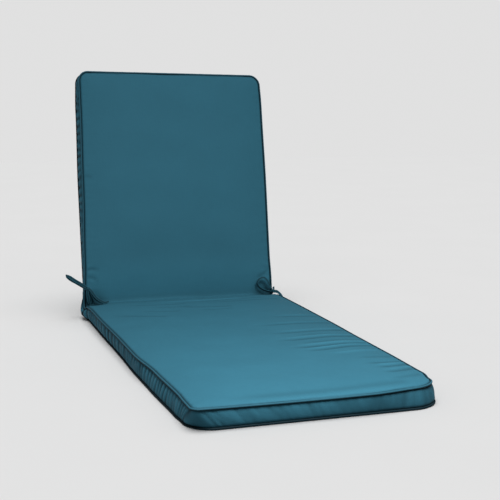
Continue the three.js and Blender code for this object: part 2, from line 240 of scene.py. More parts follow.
class Pattern:
    """Flat pattern of the pad, with rows from foot to head, and the rule that folds it"""

    def __init__(self, scene):
        pad, piping_radius = scene.cushion_pad, scene.cushion_trim.piping_radius
        self.pad = pad
        self.foot_corners = (pad.foot_left_corner, pad.foot_right_corner)
        self.head_corners = (pad.head_left_corner, pad.head_right_corner)
        self.turn = pi / 2 - pad.back_lean
        self.reach = pad.fold_radius * tan(self.turn / 2)
        foot = -(pad.seat_length + piping_radius)
        head = pad.back_length * sin(pad.back_lean) + pad.height * cos(pad.back_lean) + piping_radius
        self.middle = (foot + head) / 2
        self.make_rows()

    def make_rows(self):
        """Rows turn round the foot's corners, run up the pad, and turn round the head's corners"""
        pad = self.pad
        zone = np.linspace(0, 1, ceil(CORNER_ZONE / ROW_STEP))
        turns = np.concatenate([np.linspace(0, pi / 2, CORNER_STEPS + 1), 0 * zone[1:] + pi / 2])
        beyond = np.concatenate([np.zeros(CORNER_STEPS + 1), zone[1:]])
        first = -pad.seat_length + CORNER_ZONE + ROW_STEP
        last = pad.back_length - CORNER_ZONE - ROW_STEP
        straight = np.concatenate([
            np.linspace(first, -FOLD_ZONE, ceil((-FOLD_ZONE - first) / ROW_STEP)),
            np.linspace(-FOLD_ZONE, FOLD_ZONE, ceil(2 * FOLD_ZONE / FOLD_ROW_STEP))[1:-1],
            np.linspace(FOLD_ZONE, last, ceil((last - FOLD_ZONE) / ROW_STEP)),
        ])
        corner = np.ones(len(turns))
        self.row_along = np.concatenate([-pad.seat_length * corner, straight, pad.back_length * corner])
        self.row_end = np.concatenate([-corner, 0 * straight, corner])
        self.row_turn = np.concatenate([turns, 0 * straight + pi / 2, turns[::-1]])
        self.row_beyond = np.concatenate([beyond, 0 * straight, beyond[::-1]])
        edge = np.array(EDGE_COLUMNS)
        middle = ceil((pad.width - 2 * edge[-1]) / COLUMN_STEP)
        inner = np.linspace(edge[-1], pad.width - edge[-1], middle)[1:-1]
        self.shares = np.concatenate([edge, inner, pad.width - edge[::-1]]) / pad.width

    def folded(self, across, along, height):
        """Places in the frame of points of the flat pad"""
        pad = self.pad
        arm = pad.fold_radius + pad.height - height
        turned = self.turn * np.clip((along + self.reach) / (2 * self.reach), 0, 1)
        before = np.minimum(0, along + self.reach)
        beyond = np.maximum(0, along - self.reach)
        y = before - self.reach + arm * np.sin(turned) + beyond * cos(self.turn) - self.middle
        z = pad.height + pad.fold_radius - arm * np.cos(turned) + beyond * sin(self.turn)
        return np.stack(np.broadcast_arrays(across, y, z), axis=-1)

    def side_line(self, side, out, level):
        """Side seam, moved outwards in plan; level runs from the rear seam, 0, to the front seam, 1"""
        sine, cosine = np.sin(self.row_turn), np.cos(self.row_turn)
        foot, head = (lerp(*corners[side], level) for corners in (self.foot_corners, self.head_corners))
        corner = np.select([self.row_end < 0, self.row_end > 0], [foot, head], 0)
        run = corner * (1 - cosine) + self.row_beyond * (CORNER_ZONE - corner)
        along = self.row_along - self.row_end * run
        wander = lerp(edge_value("rear", side, along), edge_value("front", side, along), level)
        half = self.pad.width / 2 + wander - corner * (1 - sine) + out * sine
        return (half if side == RIGHT else -half), along + self.row_end * out * cosine

    def end_shift(self, across, along, level):
        """How far the ends are shifted along the pad: the head stands skew, the foot's right is drawn in"""
        pad = self.pad
        pulled = level * ramp(across, *FOOT_PULL_SPAN) * near_end(along + pad.seat_length)
        skewed = 2 * across / pad.width * near_end(pad.back_length - along)
        return pad.foot_pull * pulled - pad.head_skew * skewed

    def panel(self, out, level):
        """Places across and along of a grid over the whole panel, inside its seam"""
        left, right = (self.side_line(side, out, level) for side in (LEFT, RIGHT))
        across = lerp(left[0][:, None], right[0][:, None], self.shares)
        along = lerp(left[1][:, None], right[1][:, None], self.shares)
        return across, along + self.end_shift(across, along, level)

    def edge(self):
        """Rows and columns of the grid's points round its edge, anticlockwise seen from the front"""
        last_row, last_column = len(self.row_along) - 1, len(self.shares) - 1
        columns, rows = np.arange(last_column + 1), np.arange(1, last_row)
        return (np.concatenate([0 * columns, rows, 0 * columns + last_row, rows[::-1]]),
                np.concatenate([columns, 0 * rows + last_column, columns[::-1], 0 * rows]))

    def ring(self, out, level):
        across, along = self.panel(out, level)
        edge = self.edge()
        return across[edge], along[edge]

    def crease_depth(self, across, along):
        """Depth by which the crease is sharper than the arc of the fold"""
        turned = self.turn / 2 * np.maximum(0, 1 - np.abs(along) / self.reach)
        deepest = self.pad.fold_radius * (1 / np.cos(turned) - 1)
        return deepest * np.interp(across, CREASE_PLACES, CREASE_SHARES)

    def crown_height(self, across, along, inset):
        """Height of the front cloth: crowned inside the seams, dipping into the fold, sagging at the foot"""
        pad = self.pad
        side_inset = np.maximum(0, pad.width / 2 - np.abs(across))
        near_side = (1 - np.minimum(side_inset / EDGE_DIP_REACH, 1)) ** 2
        from_fold = 1 - bell(along, FOLD_EASE)
        mid_foot = np.maximum(0, 1 - (2 * across / pad.width) ** 2)
        crowned = (pad.crown * crown_share(inset) + FOLD_DIP) * from_fold - FOLD_DIP
        dropped = either_side("drop", across, along) * near_side
        sagged = FOOT_SAG * near_end(along + pad.seat_length) * mid_foot
        return pad.height + crowned - self.crease_depth(across, along) - dropped - sagged

    def seam_height(self):
        across, along = self.ring(0, 1)
        return self.crown_height(across, along, 0)


# Cloth detail: ruffles, undulation and creases placed one by one

Crease = namedtuple("Crease", "start end width height")

# Ridges and, with a height below 0, troughs of the front cloth: across and along at both ends
SEAT_CREASES = (
    Crease((0.142, -0.408), (0.304, -0.400), 0.0080, -0.0015),
    Crease((0.150, -0.392), (0.304, -0.385), 0.0070, 0.0008),
    Crease((0.053, -0.505), (0.304, -0.492), 0.0080, -0.0017),
    Crease((0.090, -0.489), (0.304, -0.477), 0.0070, 0.0009),
    Crease((0.060, -0.602), (0.304, -0.586), 0.0080, -0.0022),
    Crease((0.080, -0.582), (0.304, -0.568), 0.0080, 0.0011),
    Crease((0.120, -0.638), (0.304, -0.626), 0.0070, -0.0012),
    Crease((0.049, -0.682), (0.304, -0.660), 0.0080, -0.0025),
    Crease((0.070, -0.662), (0.304, -0.642), 0.0080, 0.0014),
    Crease((0.100, -0.720), (0.304, -0.698), 0.0070, -0.0014),
    Crease((0.065, -0.768), (0.304, -0.742), 0.0080, -0.0034),
    Crease((0.070, -0.748), (0.304, -0.724), 0.0080, 0.0020),
    Crease((0.088, -0.806), (0.304, -0.766), 0.0070, -0.0028),
    Crease((0.080, -0.788), (0.304, -0.754), 0.0060, 0.0018),
    Crease((0.134, -0.840), (0.290, -0.822), 0.0090, 0.0014),
    Crease((0.190, -0.898), (0.300, -0.884), 0.0080, -0.0014),
    Crease((0.185, -0.956), (0.300, -0.934), 0.0070, -0.0024),
    Crease((0.200, -0.996), (0.300, -0.960), 0.0070, -0.0026),
    Crease((0.200, -0.976), (0.300, -0.946), 0.0060, 0.0015),
    Crease((0.195, -1.045), (0.298, -1.000), 0.0080, -0.0023),
    Crease((0.195, -1.024), (0.298, -0.982), 0.0060, 0.0011),
    Crease((0.190, -1.090), (0.288, -1.056), 0.0080, -0.0012),
    Crease((-0.279, -0.241), (-0.120, -0.309), 0.0090, -0.0014),
    Crease((-0.190, -0.217), (-0.070, -0.242), 0.0080, -0.0012),
    Crease((-0.160, -0.176), (-0.020, -0.184), 0.0070, -0.0010),
    Crease((-0.071, -0.182), (0.095, -0.230), 0.0080, -0.0014),
    Crease((-0.030, -0.238), (0.085, -0.258), 0.0070, -0.0011),
    Crease((-0.255, -1.120), (0.235, -1.110), 0.0120, -0.0013),
    Crease((-0.262, -1.144), (0.240, -1.138), 0.0090, 0.0009),
)

# Fine folds of the front cloth beside the fold, and pinches at the seams of the back
FOLD_CREASES = (
    Crease((-0.120, -0.042), (0.220, -0.037), 0.0050, 0.0015),
    Crease((-0.200, -0.066), (0.060, -0.075), 0.0045, -0.0019),
    Crease((0.000, -0.084), (0.270, -0.072), 0.0045, -0.0020),
    Crease((-0.140, -0.101), (0.160, -0.106), 0.0050, 0.0015),
    Crease((-0.060, -0.125), (0.240, -0.115), 0.0050, -0.0020),
    Crease((-0.220, -0.130), (-0.020, -0.140), 0.0060, -0.0017),
    Crease((0.020, -0.149), (0.280, -0.140), 0.0060, -0.0019),
    Crease((-0.258, 0.094), (-0.296, 0.101), 0.0045, -0.0018),
    Crease((-0.262, 0.060), (-0.296, 0.078), 0.0050, -0.0018),
    Crease((0.246, 0.052), (0.296, 0.078), 0.0060, -0.0018),
    Crease((-0.262, 0.380), (-0.296, 0.388), 0.0050, -0.0014),
)

# Tucks in the foot's boxing: across and height at both ends
FOOT_TUCKS = (
    Crease((0.266, 0.034), (0.236, 0.052), 0.0040, -0.0018),
    Crease((0.286, 0.026), (0.262, 0.044), 0.0040, -0.0015),
    Crease((-0.248, 0.036), (-0.266, 0.052), 0.0035, -0.0014),
)

# Ruffles beside the panels' seams, and gathers of the boxing, wider apart along the seat's sides
PUCKER_SPACING = 0.011
PUCKER_REACH = 0.016
GATHER_SPACING = 0.0115
WIDE_GATHER_SPACING = 0.020
WIDE_GATHER_SPAN = (-0.80, -0.25)

# How uneven ruffles are, as shares of their spacing and height, and how many to spare are drawn
RUFFLE_SPACINGS = (0.6, 1.4)
RUFFLE_HEIGHTS = (0.35, 1)
SPARE_SHARE = 1.6
SPARE_KNOTS = 4

# Slack of the cloth, and how creases bow and fade out
SLACK_WAVES = 7
SLACK_HEIGHT = 0.0011
SLACK_LENGTHS = (0.13, 0.38)
CREASE_BOW = 0.006
CREASE_FADE_IN = 0.35
CREASE_FADE_OUT = 0.06


def ruffle(place, spacing, seed):
    """Ridges and hollows in turn at uneven spacing, from -1 to 1"""
    draw = np.random.default_rng(seed)
    count = int((place.max() - place.min()) / spacing * SPARE_SHARE) + SPARE_KNOTS
    knots = place.min() - spacing + np.cumsum(draw.uniform(*RUFFLE_SPACINGS, count)) * spacing
    heights = draw.uniform(*RUFFLE_HEIGHTS, count) * np.where(np.arange(count) % 2, 1, -1)
    return eased_between(place, knots, heights)


def slack(across, along, seed):
    """Slow undulation of cloth that isn't quite taut"""
    draw = np.random.default_rng(seed)
    total = 0 * across
    for _ in range(SLACK_WAVES):
        heading, phase = draw.uniform(0, pi), draw.uniform(0, 2 * pi)
        wave = 2 * pi / draw.uniform(*SLACK_LENGTHS)
        total = total + np.sin(wave * (across * cos(heading) + along * sin(heading)) + phase)
    return total * SLACK_HEIGHT / SLACK_WAVES ** 0.5


def crease_height(creases, across, along):
    """Sum of ridges and troughs, round in section, that fade in slowly from their start and end at a seam"""
    total = 0 * across
    for crease in creases:
        start, end = np.array(crease.start), np.array(crease.end)
        run = end - start
        part = ((across - start[0]) * run[0] + (along - start[1]) * run[1]) / (run @ run)
        off = ((across - start[0]) * run[1] - (along - start[1]) * run[0]) / np.sqrt(run @ run)
        bow = CREASE_BOW * np.sin(pi * np.clip(part, 0, 1))
        fade = eased(part / CREASE_FADE_IN) * eased((1 - part) / CREASE_FADE_OUT)
        total = total + crease.height * fade * bell(off - bow, crease.width)
    return total


def seam_lengths(across, along):
    """Distance run along a closed line of places, from its first one"""
    steps = np.hypot(np.diff(across), np.diff(along))
    return np.concatenate([[0], np.cumsum(steps)])


def nearest_on_seam(across, along, seam):
    """Distance of each place of a grid from the seam, and how far along the seam its nearest point is"""
    runs = seam_lengths(*seam)
    gap, run = np.empty_like(across), np.empty_like(across)
    for row in range(len(across)):
        away = np.hypot(across[row][:, None] - seam[0], along[row][:, None] - seam[1])
        nearest = away.argmin(axis=1)
        gap[row] = away[np.arange(len(nearest)), nearest]
        run[row] = runs[nearest]
    return gap, run


# Meshes

def quads_of(index):
    """Quads between neighbouring rows and columns of an array of point numbers"""
    return np.stack([index[:-1, :-1], index[:-1, 1:], index[1:, 1:], index[1:, :-1]], axis=-1).reshape(-1, 4)


def corners_of(*parts):
    """Cloth places of the corners of those quads, from arrays of the same shape as the point numbers"""
    place = np.stack(np.broadcast_arrays(*parts, 0 * parts[0])[:3], axis=-1)
    corners = np.stack([place[:-1, :-1], place[:-1, 1:], place[1:, 1:], place[1:, :-1]], axis=2)
    return corners.reshape(-1, 4, 3)


def closed_columns(array, last=None):
    """An array with its first column, or another one, added after its last"""
    return np.hstack([array, array[:, :1] if last is None else last])


def joined(arrays):
    """All values of some arrays in one row"""
    return np.concatenate([np.ravel(array) for array in arrays])


PLACE = "cloth_place"
# Attribute of painted light and shade: the cloth's colour is darkened where shade is painted and lightened
# where a highlight is painted
PAINTED_LIGHT_ATTRIBUTE = "cloth_shade"
LIT = "lit_pieces"


def make_object(name, points, faces, places, material, painted_light_values=None):
    """A smooth mesh object whose face corners know their place on the cloth, and its points their painted
    light and shade
    """
    mesh = bpy.data.meshes.new(name)
    mesh.from_pydata(points.reshape(-1, 3).tolist(), [], [list(face) for face in faces])
    place = mesh.attributes.new(PLACE, "FLOAT_VECTOR", "CORNER")
    place.data.foreach_set("vector", joined(places).astype(np.float32))
    if painted_light_values is not None:
        shade = mesh.attributes.new(PAINTED_LIGHT_ATTRIBUTE, "FLOAT", "POINT")
        shade.data.foreach_set("value", np.ravel(painted_light_values).astype(np.float32))
    mesh.polygons.foreach_set("use_smooth", np.ones(len(mesh.polygons), bool))
    mesh.materials.append(material)
    made = add_object(name, mesh)
    lit_pieces().objects.link(made)
    return made


def add_object(name, data):
    added = bpy.data.objects.new(name, data)
    bpy.context.scene.collection.objects.link(added)
    return added


def dress(made, slot, *nodes):
    """The piece rides with the cushion and stands for its solids"""
    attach(made, BODY)
    if nodes:
        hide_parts(*nodes)
    return made


# Cover

# Panels: how far their edges lie inside the seam, how far in the cloth comes free of its stitches and hangs
# loose, how the shoulder rises and fades at the fold, and the rear cloth's edge and its crown up the back
PANEL_EDGE = 0.0023
SEAM_EASE = 0.004
OPEN_CLOTH = 0.08
SHOULDER_RUN = 0.0026
SHOULDER_FADE = 0.10
SHOULDER_INSET = 0.03
REAR_EDGE_RISE = 0.0024
REAR_EDGE_RUN = 0.0035
REAR_CROWN = 0.004
STANDING_SPAN = (0.08, 0.20)

# Boxing: its rings, how they leave the piping, the arch between the seams, and the gathers, belly and bands
# on it. The sides begin within a span inside the side seams, and the ends are gathered less.
BOXING_RINGS = 12
BOXING_EDGE = 0.0024
BOXING_INSET = 0.0014
PIPING_REAR = {"out": 0.0009, "height": 0.0028}
OUTWARD_STEP = 0.01
PANEL_LEVELS = (-0.1, 1.1)
SIDE_SPAN = (-0.022, -0.002)
ARCH_POWER = 0.75
GATHER_POWER = 0.6
GATHER_SLANT = 0.010
END_GATHER = 0.40
MID_GATHER = 0.7
BELLY = 0.0016
BELLY_POWER = 0.5
BAND_SPACING = 0.042
BAND_HEIGHT = 0.0010

SEEDS = {"front_pucker": 11, "rear_pucker": 12, "upper_gather": 21, "lower_gather": 22, "wide_gather": 24,
         "bands": 23, "slack": 31, "rear_slack": 32}

# Painted light and shade stored in the cloth's colour, below 0 for painted shade in a hollow and above 0 for
# a
# painted highlight on a ridge: the height of a fully shaded crease, and the share of each cause. Those of the
# sides, the foot, the fold and the low back are painted soft light and shadow that lie there, not a form.
FULL_CREASE = 0.0036
DITCH_SHADE = 1.3
DITCH_WIDTH = 0.0028
BOXING_DITCH_WIDTH = 0.0040
GATHER_SHADE = 1.9
SIDE_SHADE = 0.15
BAND_SHADE = 0.22
END_GATHER_SHADE = 0.35
WIDE_GATHER_SHADE = 1.35
FOOT_SHADE = 0.75
FOOT_SHADE_SPAN = (-0.06, 0.20)
FOLD_SHADE = 1.3
FOLD_SHADE_REACH = 0.030
FOLD_SHADE_SPAN = (0.225, 0.275)
PAINTED_LIGHT_LOW_BACK = 0.55
PAINTED_LIGHT_START = 0.03
PAINTED_LIGHT_SPAN = (0.04, 0.16)


def front_heights(pattern, across, along, gap, run):
    """Heights of the front cloth over the rear seam, and its painted light and shade"""
    pad = pattern.pad
    height = pattern.crown_height(across, along, gap)
    height += (pad.shoulder + pad.ditch) * (1 - np.exp(-gap / SHOULDER_RUN)) - pad.ditch
    height -= pad.shoulder * bell(along, SHOULDER_FADE) * eased(gap / SHOULDER_INSET)
    height += puckers(pad, gap, run, "front_pucker")
    height += eased(gap / OPEN_CLOTH) * slack(across, along, SEEDS["slack"])
    creased = off_seam(gap) * crease_height(SEAT_CREASES + FOLD_CREASES, across, along)
    # Painted shade in the creases' troughs and the seam's ditch, painted highlight on the creases' ridges
    shade = np.clip(creased / FULL_CREASE, -1, 1) - DITCH_SHADE * bell(gap, DITCH_WIDTH)
    # Painted shade at the ends of the fold
    shade -= FOLD_SHADE * bell(along, FOLD_SHADE_REACH) * ramp(np.abs(across), *FOLD_SHADE_SPAN)
    # Painted light low on the back
    shade += PAINTED_LIGHT_LOW_BACK * eased(along / PAINTED_LIGHT_START) * (1 - ramp(along, *PAINTED_LIGHT_SPAN))
    return height + creased, shade


def off_seam(gap):
    """Share from 0 at a seam, whose stitches hold the cloth down, to 1 further in"""
    return 1 - np.exp(-gap / SEAM_EASE)


def puckers(pad, gap, run, seed):
    """Heights of the ruffles beside a panel's seam"""
    fade = np.exp(-gap / PUCKER_REACH) * off_seam(gap)
    return pad.pucker * fade * ruffle(run, PUCKER_SPACING, SEEDS[seed])


def rear_heights(pattern, across, along, gap, run):
    """The rear cloth is flat on what it rests on, and a little crowned where the back stands clear"""
    pad = pattern.pad
    loose = eased(gap / OPEN_CLOTH) * slack(across, along, SEEDS["rear_slack"])
    clear = REAR_CROWN * crown_share(gap) + puckers(pad, gap, run, "rear_pucker") + loose
    return REAR_EDGE_RISE * bell(gap, REAR_EDGE_RUN) - ramp(along, *STANDING_SPAN) * clear


def gathered(run, seed, spacing=GATHER_SPACING):
    """Gathers of the boxing: wide rounded ridges between narrow hollows, from -1 to 1"""
    return 1 - 2 * ((1 - ruffle(run, spacing, seed)) / 2) ** 2


def boxing_gathers(part, run, wide_share):
    """Gathers of one ring of the boxing, from -1 to 1, slanting one way above and the other way below"""
    slant = GATHER_SLANT * (part - 0.5)
    upper = gathered(run + slant, SEEDS["upper_gather"])
    lower = gathered(run - slant, SEEDS["lower_gather"])
    wide = gathered(run + slant, SEEDS["wide_gather"], WIDE_GATHER_SPACING)
    return lerp(lerp(lower, upper, eased(part)), wide, wide_share)


def boxing_ring(pattern, part, seam_height, run):
    """Places and painted light and shade of one ring of the boxing; part runs from the rear seam, 0, to the
    front seam, 1
    """
    pad = pattern.pad
    across, along = pattern.ring(0, part)
    arch = (1 - (2 * part - 1) ** 2) ** ARCH_POWER
    side_share = ramp(np.abs(across) - pad.width / 2, *SIDE_SPAN)
    wide_share = ramp(along, *WIDE_GATHER_SPAN) * (along < 0)
    at_foot = near_end(along + pad.seat_length)

    freedom = lerp(END_GATHER, 1, side_share) * arch ** GATHER_POWER * lerp(MID_GATHER, 1, abs(2 * part - 1))
    gathers = freedom * boxing_gathers(part, run, wide_share)
    bands = arch * ruffle(run, BAND_SPACING, SEEDS["bands"])
    tucks = at_foot * crease_height(FOOT_TUCKS, across, 0 * across + part * pad.height)
    out = (lerp(PIPING_REAR["out"], 0, part) - BOXING_INSET + pad.bulge * arch
           + BELLY * (1 - part) * arch ** BELLY_POWER + BAND_HEIGHT * bands
           + either_side("puff", across, along) * arch + pad.gather * gathers + tucks)

    # Painted shade in the hollows of the gathers and tucks, in the seams' ditches, on the sides, at the fold
    # and on the  foot's right, and painted highlight on the gathers' ridges and the bands
    side_shade = lerp(1, WIDE_GATHER_SHADE, wide_share)
    gather_shade = GATHER_SHADE * lerp(END_GATHER_SHADE, side_shade, side_share)
    from_seam = min(part, 1 - part) * pad.height
    shade = (gather_shade * gathers + BAND_SHADE * bands + tucks / FULL_CREASE
             - DITCH_SHADE * bell(from_seam, BOXING_DITCH_WIDTH) - SIDE_SHADE * side_share
             - FOLD_SHADE * bell(along, FOLD_SHADE_REACH)
             - FOOT_SHADE * at_foot * ramp(across, *FOOT_SHADE_SPAN))

    low = PIPING_REAR["height"] + BOXING_EDGE
    return (*shifted(pattern, out, part), lerp(low, seam_height - BOXING_EDGE, part)), shade


def shifted(pattern, out, level):
    """Ring of the seam, each point moved outwards by its own distance"""
    near, far = pattern.ring(0, level), pattern.ring(OUTWARD_STEP, level)
    return tuple(lerp(a, b, out / OUTWARD_STEP) for a, b in zip(near, far))


# Cloth simulation of the padding: how it presses, how far it may move the cover, and how near to a seam and
# to the fold the cover is held
PADDING_PRESSURE = 4
PADDING_FRAMES = 20
PADDING_STEPS = 2
PADDING_CAP = 0.0025
SMALLEST_MOVE = 1e-9
SEAM_HOLD = 0.005
FOLD_HOLD = 0.055
HELD = "held"


def fill_out(context, cover, held):
    """Press the padding against the cover, which its seams and its fold hold, and keep the capped result"""
    group = cover.vertex_groups.new(name=HELD)
    group.add(np.flatnonzero(held).tolist(), 1, "REPLACE")
    cloth = cover.modifiers.new("padding", "CLOTH")
    cloth.settings.quality = PADDING_STEPS
    cloth.settings.vertex_group_mass = HELD
    cloth.settings.use_pressure = True
    cloth.settings.uniform_pressure_force = PADDING_PRESSURE
    cloth.settings.effector_weights.gravity = 0
    cloth.collision_settings.use_collision = False
    cloth.point_cache.frame_end = PADDING_FRAMES
    for number in range(1, PADDING_FRAMES + 1):
        context.scene.frame_set(number)
    start = points_of(cover.data)
    moved = points_of(cover.evaluated_get(context.evaluated_depsgraph_get()).data) - start
    distance = np.maximum(np.linalg.norm(moved, axis=1, keepdims=True), SMALLEST_MOVE)
    moved *= PADDING_CAP * np.tanh(distance / PADDING_CAP) / distance
    cover.modifiers.remove(cloth)
    cover.vertex_groups.remove(group)
    context.scene.frame_set(1)
    cover.data.vertices.foreach_set("co", (start + moved).ravel())
    cover.data.update()


def points_of(mesh):
    """Places of a mesh's points"""
    points = np.empty(3 * len(mesh.vertices))
    mesh.vertices.foreach_get("co", points)
    return points.reshape(-1, 3)


def panel_grid(pattern, level):
    """Places across and along of a panel's points, their distance from its seam, and their place along it"""
    places = pattern.panel(-PANEL_EDGE, level)
    return *places, *nearest_on_seam(*places, pattern.ring(-PANEL_EDGE, level))


def make_cover(context):
    pattern = Pattern(context.scene)
    pad = pattern.pad
    across, along, gap, run = panel_grid(pattern, 1)
    front_height, front_shade = front_heights(pattern, across, along, gap, run)
    rear_across, rear_along, rear_gap, rear_run = panel_grid(pattern, 0)
    rear_height = rear_heights(pattern, rear_across, rear_along, rear_gap, rear_run)
    # Painted shade in the ditch beside the rear seam
    rear_shade = -DITCH_SHADE * bell(rear_gap, DITCH_WIDTH)
    ring_run = seam_lengths(*pattern.ring(0, 1))
    parts = np.linspace(0, 1, BOXING_RINGS)
    seam_height = pattern.seam_height()
    rings = [boxing_ring(pattern, part, seam_height, ring_run) for part in parts]
    panels = [pattern.folded(across, along, front_height),
              pattern.folded(rear_across, rear_along, rear_height)]
    points = joined([*panels, *(pattern.folded(*places) for places, _ in rings)])

    front = np.arange(gap.size).reshape(gap.shape)
    rear = front + front.size
    boxing = 2 * front.size + np.arange(BOXING_RINGS * len(ring_run)).reshape(BOXING_RINGS, -1)
    edge = pattern.edge()
    band = closed_columns(np.vstack([rear[edge], boxing, front[edge]]))
    faces = np.concatenate([quads_of(front), quads_of(rear)[:, ::-1], quads_of(band)])

    levels = np.array([PANEL_LEVELS[0], *parts, PANEL_LEVELS[1]])[:, None] * pad.height
    closing = ring_run[-1] + ring_run[1]
    band_run = closed_columns(np.tile(ring_run, (len(levels), 1)), np.full((len(levels), 1), closing))
    places = [corners_of(across, along), corners_of(rear_across, rear_along)[:, ::-1],
              corners_of(band_run, levels)]
    cover = make_object("cover", points, faces, places,
                        cloth_finish("cover_cloth", context.scene.cushion_cloth.cover_colour, 0),
                        joined([front_shade, rear_shade, *(shade for _, shade in rings)]))
    front_held = (gap < SEAM_HOLD) | (np.abs(along) < FOLD_HOLD)
    rear_held = np.ones(gap.shape, bool)
    boxing_held = [(np.abs(places[1]) < FOLD_HOLD) | (min(part, 1 - part) * pad.height < SEAM_HOLD)
                   for part, (places, _) in zip(parts, rings)]
    fill_out(context, cover, joined([front_held, rear_held, *boxing_held]))
    dress(cover, "cover_cloth", "pad")


# Piping: its section, its ruffle, its shine, and the painted shade on it away from the side that is open to
# the light

PIPING_SIDES = 12
PIPING_RUFFLE = 0.00018
PIPING_RUFFLE_SPACING = 0.0045
PIPING_SHINE = 0.08
PIPING_PAINTED_SHADE = 1.9
PIPING_EXPOSED = 0.3


def make_piping(context):
    pattern = Pattern(context.scene)
    cord_radius = context.scene.cushion_trim.piping_radius
    finish = cloth_finish("piping_cloth", context.scene.cushion_cloth.piping_colour, pi / 4, PIPING_SHINE)
    around = np.linspace(0, 2 * pi, PIPING_SIDES + 1)
    cosines, sines = np.cos(around[:-1])[:, None], np.sin(around[:-1])[:, None]
    for name, node, out, level, height, exposed in (
            ("front_piping", "piping_front", 0, 1, pattern.seam_height(), -pi / 4),
            ("rear_piping", "piping_rear", PIPING_REAR["out"], 0, PIPING_REAR["height"], pi / 2)):
        seam = pattern.ring(out, level)
        centres = pattern.folded(*seam, height)
        outer = pattern.folded(*pattern.ring(out + OUTWARD_STEP, level), height)
        tangents = unit(np.roll(centres, -1, 0) - np.roll(centres, 1, 0))
        outwards = square_to(outer - centres, tangents)
        ups = np.cross(tangents, outwards)
        run = seam_lengths(*seam)
        radius = cord_radius + PIPING_RUFFLE * ruffle(run, PIPING_RUFFLE_SPACING, SEEDS["front_pucker"])
        spokes = cosines * outwards[:, None] + sines * ups[:, None]
        points = centres[:, None] + radius[:, None, None] * spokes
        index = np.arange(points.shape[0] * PIPING_SIDES).reshape(-1, PIPING_SIDES)
        index = closed_columns(np.vstack([index, index[:1]]))
        runs = np.append(run, run[-1] + run[1])[:, None] + 0 * around
        places = corners_of(runs, around * cord_radius + 0 * runs)
        # Painted shade on the sides of the cord that face away from the light
        hidden = 1 - ramp(np.cos(around[:-1] - exposed), PIPING_EXPOSED, 1)
        piping = make_object(name, points, quads_of(index), [places], finish,
                             -PIPING_PAINTED_SHADE * hidden + 0 * radius[:, None])
        dress(piping, "piping_cloth", node)


def unit(vectors):
    return vectors / np.linalg.norm(vectors, axis=-1, keepdims=True)


def square_to(vectors, tangents):
    """The part of each vector that stands square to its tangent, as a unit vector"""
    return unit(vectors - np.sum(vectors * tangents, axis=-1, keepdims=True) * tangents)


# Ties: routes and knots, from the fold line on the ground under the middle of the pad

Ribbon = namedtuple("Ribbon", "across route flare", defaults=(0,))
Tie = namedtuple("Tie", "knot size ribbons")

TIES = (
    Tie((-0.298, -0.004, 0.0935), (0.013, 0.010, 0.013), {
        "root_a": Ribbon((1, 0, 0), (
            (-0.293, 0.002, 0.044), (-0.295, -0.001, 0.054), (-0.297, -0.003, 0.064),
            (-0.299, -0.005, 0.075), (-0.299, -0.005, 0.086))),
        "root_b": Ribbon((1, 0, 0), (
            (-0.284, 0.006, 0.044), (-0.284, 0.003, 0.054), (-0.287, 0.001, 0.065), (-0.291, 0, 0.076),
            (-0.297, 0, 0.086))),
        "loop": Ribbon((0.34, 0.5, 0.75), (
            (-0.304, -0.008, 0.099), (-0.320, -0.012, 0.111), (-0.338, -0.013, 0.123),
            (-0.354, -0.010, 0.134), (-0.364, -0.004, 0.137), (-0.360, 0.003, 0.131),
            (-0.344, 0.003, 0.118), (-0.324, 0, 0.106), (-0.306, -0.003, 0.0955)), 0.55),
        "end_a": Ribbon((0.8, 0.1, 0.6), (
            (-0.292, -0.010, 0.091), (-0.285, -0.013, 0.082), (-0.278, -0.016, 0.071),
            (-0.269, -0.019, 0.062), (-0.258, -0.022, 0.055), (-0.248, -0.024, 0.0515),
            (-0.238, -0.025, 0.055))),
        "end_b": Ribbon((0.8, 0.1, 0.6), (
            (-0.291, -0.006, 0.086), (-0.286, -0.008, 0.076), (-0.281, -0.009, 0.066),
            (-0.273, -0.011, 0.058), (-0.263, -0.013, 0.053), (-0.251, -0.014, 0.0495))),
    }),
    Tie((0.304, -0.0135, 0.0555), (0.013, 0.010, 0.012), {
        "root_a": Ribbon((1, 0, 0.3), (
            (0.299, 0.003, 0.038), (0.300, -0.003, 0.0425), (0.3015, -0.008, 0.0475))),
        "root_b": Ribbon((0, 0.5, 0.8), (
            (0.318, 0.025, 0.056), (0.3165, 0.015, 0.060), (0.313, 0.006, 0.062), (0.309, -0.001, 0.0625),
            (0.305, -0.0065, 0.062))),
        "loop": Ribbon((0.1, 1, 0), (
            (0.298, -0.017, 0.061), (0.291, -0.019, 0.070), (0.285, -0.020, 0.082), (0.278, -0.019, 0.094),
            (0.267, -0.018, 0.102), (0.254, -0.017, 0.097), (0.247, -0.016, 0.085), (0.252, -0.016, 0.073),
            (0.265, -0.016, 0.063), (0.280, -0.016, 0.057), (0.2955, -0.016, 0.054)), 1.1),
        "end_a": Ribbon((0.3, 0.3, 0.9), (
            (0.3115, -0.019, 0.055), (0.316, -0.025, 0.052), (0.3205, -0.0315, 0.0465),
            (0.3245, -0.037, 0.0385), (0.327, -0.042, 0.0295), (0.3275, -0.047, 0.020))),
        "end_b": Ribbon((1, 0.4, 0), (
            (0.305, -0.0215, 0.052), (0.308, -0.028, 0.053), (0.312, -0.0365, 0.0525),
            (0.3165, -0.045, 0.0475), (0.3195, -0.051, 0.039), (0.3205, -0.056, 0.029))),
    }),
)

